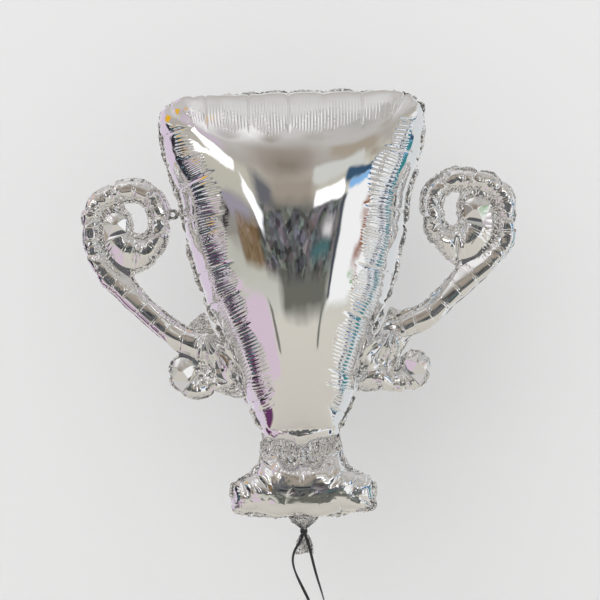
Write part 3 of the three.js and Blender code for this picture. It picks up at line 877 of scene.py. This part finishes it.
def kept_apart(path, half, gap):
    """The half widths, less where two turns of the scroll would overlap: there each gets its share, by
    width, of the distance between them less the gap."""
    arc = arc_lengths(path)
    away = np.linalg.norm(path[:, None] - path[None], axis=2)
    away[np.abs(arc[:, None] - arc[None]) < 79] = 1e9
    other, close = away.argmin(1), away.min(1)
    allowed = (close - gap) * half / (half + half[other])
    return np.where(close < half + half[other] + gap, np.minimum(half, allowed), half)


def strip(path, half):
    """The outline of a strip along the path: both edges, and a half circle round each end."""
    along, left = sides(path)
    a = np.radians(np.linspace(90, -90, 12)[1:-1])[:, None]
    last = path[-1] + half[-1] * (along[-1] * np.cos(a) + left[-1] * np.sin(a))
    first = path[0] - half[0] * (along[0] * np.cos(a) + left[0] * np.sin(a))
    edge = left * half[:, None]
    return np.vstack([path + edge, last, (path - edge)[::-1], first])


def beside(flat, cut, filled):
    """Distance to the cut's centre line, and the same place beside the filled line, drawn in to 0.7."""
    along, left = sides(cut)
    filled_along, filled_left = sides(filled)
    gap = ((flat[:, None] - cut[None]) ** 2).sum(2)
    k = gap.argmin(1)
    over = ((flat - cut[k]) * left[k]).sum(1)[:, None] * 0.7
    on = ((flat - cut[k]) * along[k]).sum(1)[:, None] * 0.7
    return np.sqrt(gap.min(1)), filled[k] + filled_left[k] * over + filled_along[k] * on


def handle_springs(foil, lines, strength):
    """Springs along both tubes towards their filled centre lines, and the points held on the cup's weld."""
    flat = foil.flat
    upper_gap, upper_goal = beside(flat, *lines[0])
    lower_gap, lower_goal = beside(flat, *lines[1])
    goal = np.where((upper_gap < lower_gap)[:, None], upper_goal, lower_goal)
    near = (flat[:, 0] > 175) & (np.minimum(upper_gap, lower_gap) < 35)
    on = (flat - joint_line[0]) @ joint_way
    off = np.abs((flat - joint_line[0]) @ np.array([-joint_way[1], joint_way[0]]))
    on_joint = (off < 7) & (on > -6) & (on < joint_length + 6) & (foil.layer == 0) & (foil.depth < -1)
    hold = np.where(near, strength, 0).astype(np.float32)[:, None]
    return goal.astype(np.float32), hold, np.nonzero(on_joint)[0]


def shape_tubes(foil, lines, random):
    """The drawn-up foil's forms on the tubes. Cross creases 21 to 38 mm apart, 1.3 mm times exp(-distance /
    1.6 mm), part each tube into sections. Along each section's crown lies a flat panel at about 0.84 of the
    crest's height, tilted a little. Each end is held under a five-sided pyramid."""
    skin = np.nonzero((foil.layer != 0) & (foil.flat[:, 0] > 150))[0]
    gaps = [((foil.flat[skin, None] - cut[None]) ** 2).sum(2) for cut, _ in lines]
    on_lower = gaps[1].min(1) < gaps[0].min(1)
    normal = point_normals(foil.place, foil.skin)
    for number, (cut, _) in enumerate(lines):
        own = on_lower == bool(number)
        near, k = skin[own], gaps[number][own].argmin(1)
        arc, left = arc_lengths(cut), sides(cut)[1][k]
        over = ((foil.flat[near] - cut[k]) * left).sum(1)
        stations = np.cumsum(random.uniform(21, 38, 60))
        away = np.abs(arc[k][:, None] - stations[None]).min(1)
        part = np.searchsorted(stations, arc[k]) * 2 + (foil.layer[near] > 0)
        high = np.abs(foil.place[near, 1])
        crest = np.zeros(130)
        np.maximum.at(crest, part[np.abs(over) < 6], high[np.abs(over) < 6])
        lean = random.uniform(-0.14, 0.14, 130)
        top = crest[part] * 0.84 + (lean[part] - 0.12 * left[:, 1]) * over
        to_end = foil.place[near] - foil.place[near[k > len(cut) - 4]].mean(0)
        out = np.hypot(to_end[:, 0], to_end[:, 2])
        round_end = (arc[-1] - arc[k] < 26) & (out < 45)
        bearing = np.arctan2(to_end[:, 2], to_end[:, 0]) + 0.5 + number
        face = np.round(bearing * 5 / (2 * np.pi)) * 2 * np.pi / 5
        peak = high[round_end].max()
        top = np.where(round_end, peak - 0.58 * out * np.cos(bearing - face), top)
        free = ramp(foil.depth[near], 5)
        cut_down = np.maximum(high - top, 0) * free
        foil.place[near, 1] -= np.sign(foil.layer[near]) * cut_down * np.where(round_end, 0.97, 0.62)
        groove = np.where(round_end, 0, 1.3 * np.exp(-away / 1.6)) * free
        foil.place[near] -= normal[near] * groove[:, None]


def strips(path, half):
    """Overlapping short strips along the path, so that the turns of a scroll can join in one border."""
    starts = range(0, len(path) - 12, 24)
    return [strip(path[k:k + 34], half[k:k + 34]) for k in starts]


# Rounds of filling, as for the cup, with how strongly the welds are kept level after the springs' strength
handle_rounds = [
    (700, 6e-4, 0.02, 4e-4, 2e-4, 0, 0.03, True), (300, 3e-4, 0.05, 4e-4, 2e-4, 0.3, 0.03, False),
    (200, 3e-4, 0.5, 4e-4, 2e-4, 0.2, 0.05, True), (400, 1.5e-4, 0.5, 1e-4, 1e-4, 0.1, 0.05, False)]
for side, upper, lower, seed in (("left", left_upper, left_lower, 21),
                                 ("right", right_upper, right_lower, 34)):
    upper, lower = (smooth_curve(line, 3.5) for line in (upper, lower))
    upper_cut, lower_cut = spread(upper[:, :2], 11), spread(lower[:, :2], 6)
    along_arm = np.linspace(0, 1, len(upper_cut))
    arm = np.interp(along_arm, (0, 0.1, 0.42, 0.5), (0, 1, 1, 0))
    left_hand = sides(upper_cut)[1]
    upper_cut = upper_cut - left_hand * (2.5 * arm)[:, None]
    tube, low_tube = kept_apart(upper_cut, upper[:, 2] + 2, 5), lower[:, 2] + 1.5
    border = np.interp(along_arm, (0, 0.6, 0.75, 1), (tube_border, tube_border, 9, 12))
    cuts = strips(upper_cut + left_hand * (2 * arm)[:, None], tube + border - 2 * arm)
    cuts += [strip(lower_cut, low_tube + tube_border), root_web]
    handle = Foil([strip(upper_cut, tube), strip(lower_cut, low_tube), root_cut], cuts, 8, 0, seed)
    lines = [(upper_cut, upper[:, :2] - left_hand * (2.5 * arm)[:, None]), (lower_cut, lower[:, :2])]
    held = handle_springs(handle, lines, 0)[2]
    on_line = (handle.flat[held] - joint_line.mean(0)) @ joint_way
    handle.place[held, ::2] -= 0.15 * on_line[:, None] * joint_way
    for steps, gas, slack, strength, level, shake, drag, halved in handle_rounds:
        goal, hold, held = handle_springs(handle, lines, strength)
        handle.fill(steps, gas, slack, goal, hold, level, shake, drag, held)
        if halved:
            handle.halve()
    handle.iron(0.4, 2, np.clip(handle.depth / 6, 0.3, 1))
    handle.halve()
    handle.iron(0.4, 1)
    random = np.random.default_rng(seed)
    shape_tubes(handle, lines, random)
    handle.iron(0.5, 40, (handle.flat[:, 0] < 178) & (handle.flat[:, 1] < 356) & (handle.layer != 0))
    handle.iron(0.5, 12, handle.depth < -0.5)
    in_root = ramp(186 - handle.flat[:, 0], 12) * ramp(356 - handle.flat[:, 1], 12)
    unfolded = handle.place[:, 1].copy()
    fan_folds(handle, (168, 352), 220, 17, 4.6, 50)
    handle.place[:, 1] = unfolded + in_root * (handle.place[:, 1] - unfolded)
    crumple(handle, random, 14, 2.3, 1 - 0.5 * in_root)
    if side == "left":
        handle.place[:, 0] *= -1
        handle.faces = handle.faces[:, ::-1]
    for kind, (sheet_side, ending, material, slot) in enumerate((
            ("front", "front_sheet", silver_foil, "foil"), ("back", "back_sheet", silver_foil, "foil"),
            ("weld", "weld_band", welded_foil, "weld"))):
        nodes = [side + "_" + part + "_" + ending for part in ("arm", "upper_scroll", "lower_scroll")]
        nodes += [side + "_root_" + (ending if kind < 2 else "web")]
        if kind == 0:
            nodes += [side + "_upper_scroll_tip", side + "_lower_scroll_tip"]
        piece = foil_piece(side + "_handle_" + sheet_side, handle, handle.kind == kind)
        fit(piece, material, slot, *nodes)


# Hanging tab
# A small flat tab of welded foil bridges the gap between the cup and the left scroll.
# It is punched with an 8 mm hole, for a thread to hang the balloon by.
tab_centre, hole_radius, tab_thick, tab_points = (-213, 560), 4, 0.4, 96
around = np.linspace(0, 2 * np.pi, tab_points, endpoint=False)
edge = 9.5 + 3.5 * np.abs(np.cos(around)) ** 3 + 0.4 * np.sin(5 * around + 1)
share = np.linspace(0, 1, 14)[:, None]
radius = hole_radius + (edge[None] - hole_radius) * share
tab_x = tab_centre[0] + radius * np.cos(around)
tab_z = tab_centre[1] + radius * np.sin(around)
ripple = 0.5 * np.sin(tab_x * 0.55 + 2) * np.cos(tab_z * 0.4) * share
front = np.stack([tab_x, ripple - tab_thick / 2, tab_z], -1)
back = np.stack([tab_x, ripple + tab_thick / 2, tab_z], -1)[::-1]
skin = np.concatenate([front, back]).reshape(-1, 3)
tab = lay_mesh("left_hanging_tab", skin, ring_quads(2 * len(share), tab_points, True), skin[:, ::2])
fit(tab, welded_foil, "weld", "left_hang_tab")


# Filling neck
# Two plies of the sheet run down from the foot's middle, and are gathered in folds under the tie.
# Below it they flare again and end cut straight, with the mouth pressed flat.
# Height, half width and half the height of the folds
neck_sections = [
    (28, 29, 0.8), (22.8, 26, 1.8), (16, 21, 3), (9, 12, 3.8), (3.2, 5, 3.6), (-3.2, 5, 3.6), (-9, 9, 2.8),
    (-20, 14, 1.8), (-40, 17, 1.2)]


def gathered(sections, folds, ply):
    """Two plies folded in a zigzag: x = half width times u, y = fold height times a triangle wave of u, with
    fold lines that wander a little as they run down. The plies lie ply in front of and behind the middle."""
    u = np.linspace(-1, 1, 121)[None]
    z, half, high = (column[:, None] for column in smooth_curve(sections, 1.2).T)
    wander = 0.12 * np.sin(z * 0.21 + 5 * u) + 0.06 * np.sin(z * 0.55 - 9 * u)
    y = high * np.arcsin(0.97 * np.sin(np.pi * folds * (u + wander))) * 2 / np.pi
    x = half * (u + 0.02 * np.sin(z * 0.4 + 7 * u))
    level = z + 1.2 * np.sin(3 * u + 0.5) * ramp(-25 - z, 15)
    front_ply, back_ply = (np.stack([x, y + side * ply, level], -1) for side in (-1, 1))
    return np.concatenate([front_ply, back_ply[:, ::-1][:, 1:-1]], 1)


neck_skin = gathered(neck_sections, 7, 0.25)
count, wide = neck_skin.shape[:2]
quads = ring_quads(count, wide)[:, [0, 3, 2, 1]]
zip_front = np.arange(1, wide // 2 - 1)
zip_back = wide - zip_front
first = np.stack([zip_front, zip_front + 1, zip_back - 1, zip_back], 1)
last = (count - 1) * wide + first[:, ::-1]
neck_skin = neck_skin.reshape(-1, 3)
filling = lay_mesh("filling_neck_folds", neck_skin, np.vstack([quads, first, last]), neck_skin[:, ::2])
fit(filling, welded_foil, "weld", "filling_neck")


# Ribbon loop and knot
# The ribbon's middle is wound twice round the gathered neck, and pulled tight in a small flat knot in front.
wound = np.linspace(-0.5 * np.pi, 3.5 * np.pi, 220)
loop_radius = 6.1 + 0.35 * np.linspace(0, 1, len(wound))
winding = np.column_stack([loop_radius * np.cos(wound), (loop_radius - ribbon_thick) * np.sin(wound),
                           0.5 * np.sin(wound / 2)])
turns = band_mesh("ribbon_loop_turns", winding, np.zeros(len(wound)), (0, 0, 1))
fit(turns, ribbon_satin, "ribbon", "ribbon_loop")

# The knot: an ellipsoid about 12 x 5 x 6 mm, pressed in between three slanting wraps
knot_half, knot_place = (6.1, 2.3, 3.0), -9.8
u, v = np.meshgrid(np.linspace(0, 2 * np.pi, 72, endpoint=False), np.linspace(-1.5, 1.5, 40))
wrap = 1 + 0.1 * np.abs(np.cos(1.5 * u + 2.2 * v)) - 0.06 * np.exp(-((v - 0.25 * np.sin(u)) / 0.12) ** 2)
knot_x = knot_half[0] * np.sin(v) * (1 + 0.03 * np.sin(3 * u))
knot_y = knot_place + knot_half[1] * wrap * np.cos(v) ** 0.7 * np.cos(u)
knot_z = knot_half[2] * wrap * np.cos(v) ** 0.6 * np.sin(u)
knot = tube_mesh("ribbon_knot_wraps", np.stack([knot_x, knot_y, knot_z], -1), np.stack([u, v * 4], -1))
fit(knot, ribbon_satin, "ribbon", "ribbon_knot")


# Studio
# A plain pale floor and wall. The wall is clear from behind, so that the back can be seen.
# The foil mirrors soft shapes set by direction: pale below and above, dim in front, bright to the sides.
def backdrop(name, corners, colour):
    """A flat pale sheet through four corners, see-through from its back and not mirrored in the foil."""
    mesh = bpy.data.meshes.new(name)
    mesh.from_pydata(corners, [], [(0, 1, 2, 3)])
    sheet = bpy.data.objects.new(name, mesh)
    bpy.context.scene.collection.objects.link(sheet)
    material, tree, shader = finish_named(name + "_paint", Base_Color=(*colour, 1), Roughness=0.9,
                                          Specular_IOR_Level=0.1)
    rear = node(tree, "NewGeometry").outputs["Backfacing"]
    clear = node(tree, "BsdfTransparent").outputs[0]
    one_sided = node(tree, "MixShader", {0: rear, 1: shader.outputs[0], 2: clear})
    tree.links.new(one_sided.outputs[0], tree.nodes["Material Output"].inputs["Surface"])
    mesh.materials.append(material)
    sheet.visible_glossy = False


floor_height, wall_place = -0.31, 0.4
backdrop("floor", [(x, y, floor_height) for x, y in ((-3, -3), (3, -3), (3, 3), (-3, 3))], (0.92, 0.92, 0.91))
backdrop("wall", [(x, wall_place, z) for x, z in ((-3, -1), (3, -1), (3, 3), (-3, 3))], (0.8, 0.8, 0.8))

world = bpy.data.worlds.new("studio")
bpy.context.scene.world = world
world.use_nodes = True
tree = world.node_tree
heading = node(tree, "TexCoord").outputs["Generated"]
x, y, z = node(tree, "SeparateXYZ", {0: heading}).outputs
uneven = node(tree, "TexNoise", {"Vector": heading, "Scale": 5.0, "Detail": 2.0}).outputs["Color"]
uneven_turn, uneven_rise, _ = node(tree, "SeparateXYZ", {0: uneven}).outputs
bearing = maths(tree, "ARCTAN2", x, maths(tree, "MULTIPLY", y, -1.0))
turn = maths(tree, "ADD", bearing, maths(tree, "MULTIPLY_ADD", uneven_turn, 0.12, -0.06))
rise = maths(tree, "ADD", maths(tree, "ARCSINE", z), maths(tree, "MULTIPLY_ADD", uneven_rise, 0.08, -0.04))
levels = node(tree, "ValToRGB", {"Fac": maths(tree, "MULTIPLY_ADD", rise, 1 / math.pi, 0.5)})
stops = [
    (-90, 0.56, 0.53, 0.47), (-60, 0.62, 0.59, 0.53), (-27, 0.67, 0.64, 0.57), (-23, 0.6, 0.6, 0.54),
    (-10, 0.5, 0.5, 0.44), (-6, 0.3, 0.28, 0.25), (4, 0.3, 0.28, 0.26), (8, 0.52, 0.5, 0.43),
    (20, 0.56, 0.53, 0.45), (26, 0.44, 0.41, 0.37), (42, 0.56, 0.54, 0.52), (90, 0.78, 0.77, 0.76)]
ramp_stops = levels.color_ramp.elements
while len(ramp_stops) < len(stops):
    ramp_stops.new(0.5)
for element, (height, *colour) in zip(ramp_stops, stops):
    element.position = height / 180 + 0.5
    element.color = (*colour, 1)


def within(value, low, high, blur):
    """One between low and high degrees, nought outside, with an edge blur degrees wide."""
    edges = np.radians([(low - blur, low + blur), (high + blur, high - blur)])
    above, below = (node(tree, "MapRange", {"Value": value, "From Min": start, "From Max": end}).outputs[0]
                    for start, end in edges)
    return maths(tree, "MULTIPLY", above, below)


def mixed(share, under, over):
    """Two colours mixed, each a socket or three numbers."""
    under, over = (c if isinstance(c, bpy.types.NodeSocket) else (*c, 1) for c in (under, over))
    return node(tree, "Mix", {0: share, 6: under, 7: over}, data_type="RGBA").outputs[2]


cells = node(tree, "TexVoronoi", {"Vector": heading, "Scale": 13.0}).outputs["Color"]
small_cells = node(tree, "TexVoronoi", {"Vector": heading, "Scale": 26.0}).outputs["Color"]
patches = mixed(0.4, cells, small_cells)
dull = node(tree, "HueSaturation", {"Saturation": 0.1, "Value": 0.6, "Color": patches}).outputs[0]
deep = node(tree, "Gamma", {"Color": dull, "Gamma": 2.4}).outputs[0]
warm = mixed(0.4, deep, (0.4, 0.24, 0.09))

# Bearing from and to, height from and to, slant and blur, all in degrees, and the colour. The height shifts
# by slant for each degree of bearing away from the shape's middle.
shapes = [
    (-160, -108, -34, 34, 0, 3, (0.7, 0.6, 0.72)), (106, 160, -40, 30, 0, 4, (0.7, 0.72, 0.73)),
    (-70, -12, 46, 82, 0, 8, (0.92, 0.91, 0.9)), (14, 70, 46, 82, 0, 8, (0.45, 0.44, 0.42)),
    (-110, -76, -26, 14, 0, 3, (0.03, 0.025, 0.035)), (-108, -80, 14, 22, 0, 2, (0.9, 0.9, 0.9)),
    (-104, -74, -3, 3, 0.4, 1, (0.2, 0.35, 0.38)), (-107, -92, 27, 38, 0, 2, (0.85, 0.46, 0.02)),
    (-110, -77, -50, -29, 0, 3, (0.13, 0.04, 0.12)), (-86, -36, -42, -20, 0, 1.5, (0.68, 0.55, 0.65)),
    (-72, -58, -43, -36, 0, 2, (0.05, 0.04, 0.09)), (-84, -42, 33, 42, -0.25, 4, (0.6, 0.5, 0.6)),
    (-70, -37, 22, 29, -0.28, 1, (1.7, 1.7, 1.7)), (-64, -34, -1, 6, 0, 2, (0.33, 0.31, 0.37)),
    (-64, -54, -2, 2, 0, 1, (0.04, 0.03, 0.03)), (-48, -14, -12, 1, 0, 2, warm),
    (-24, 14, 21, 42, 0, 7, (0.38, 0.34, 0.3)), (-14, 6, 21, 34, 0, 6, (0.26, 0.22, 0.18)),
    (20, 56, 25, 33, -0.2, 2, (0.4, 0.35, 0.28)), (-25, -12, 4, 19, -0.5, 3, (0.14, 0.14, 0.16)),
    (-14, 12, 8, 20, 0, 3, (0.36, 0.31, 0.26)), (-17, 33, -25, 10, 0, 3, (0.15, 0.15, 0.13)),
    (-28, 34, -14, 8, 0, 2.5, deep), (-33, -24, 3, 11, -1.2, 1.5, (1.9, 1.9, 2.0)),
    (12, 46, 16, 25, 0, 1.2, (0.64, 0.64, 0.61)), (13, 34, 8, 13.5, 0, 0.8, (1.8, 1.8, 1.8)),
    (21, 29, -4, 1, 0, 2, (0.7, 0.68, 0.68)), (14, 29, -9, -5, 0, 2, (0.07, 0.16, 0.17)),
    (36, 80, -24, 10, 0, 1.5, (0.95, 0.95, 0.95)), (34, 37, -22, 8, 0, 0.8, (0.06, 0.07, 0.09)),
    (80, 108, -40, 20, 0, 2, (0.85, 0.86, 0.87)), (34, 112, 8, 13, -0.12, 1, (0.04, 0.09, 0.16)),
    (38, 112, 5, 8, -0.12, 0.7, (0.25, 0.5, 0.85)), (57, 67, -13, -1, 0, 2, (0.3, 0.13, 0.08)),
    (56, 65, -18, -15, 0, 1, (0.12, 0.34, 0.08)), (98, 112, -24, 3, 0, 1.5, (0.05, 0.24, 0.26)),
    (84, 108, -34, -24, 0, 1.5, (0.05, 0.07, 0.13)), (86, 92, -20, 10, 0, 1, (0.06, 0.07, 0.09)),
    (-34, -30, -34, -22, -0.6, 0.8, (0.2, 0.19, 0.18)), (30, 33, -34, -20, 0.4, 0.8, (0.2, 0.2, 0.18))]
mirrored = levels.outputs[0]
for left, right, low, high, slant, blur, colour in shapes:
    middle = math.radians((left + right) / 2)
    shifted = maths(tree, "ADD", rise, maths(tree, "MULTIPLY_ADD", turn, -slant, slant * middle))
    mask = maths(tree, "MULTIPLY", within(turn, left, right, blur), within(shifted, low, high, blur))
    mirrored = mixed(mask, mirrored, colour)
behind = node(tree, "MapRange", {"Value": y, "From Min": 0.84, "From Max": 0.92}).outputs[0]
mirrored = mixed(behind, mirrored, (0.74, 0.74, 0.74))
in_foil = node(tree, "LightPath").outputs["Is Glossy Ray"]
studio_light = mixed(in_foil, (0.96, 0.96, 0.96), mirrored)
tree.links.new(studio_light, tree.nodes["Background"].inputs["Color"])


# One far soft light from high on the left, 50 degrees wide, not seen in the foil
sun = bpy.data.lights.new("soft_left", "SUN")
sun.angle, sun.energy = math.radians(50), 0.42
soft_left = bpy.data.objects.new("soft_left", sun)
soft_left.visible_glossy = False
soft_left.matrix_world = Vector((1.3, 2.4, -1.5)).to_track_quat("-Z", "Y").to_matrix().to_4x4()
bpy.context.scene.collection.objects.link(soft_left)
bpy.context.scene.view_settings.view_transform = "Standard"
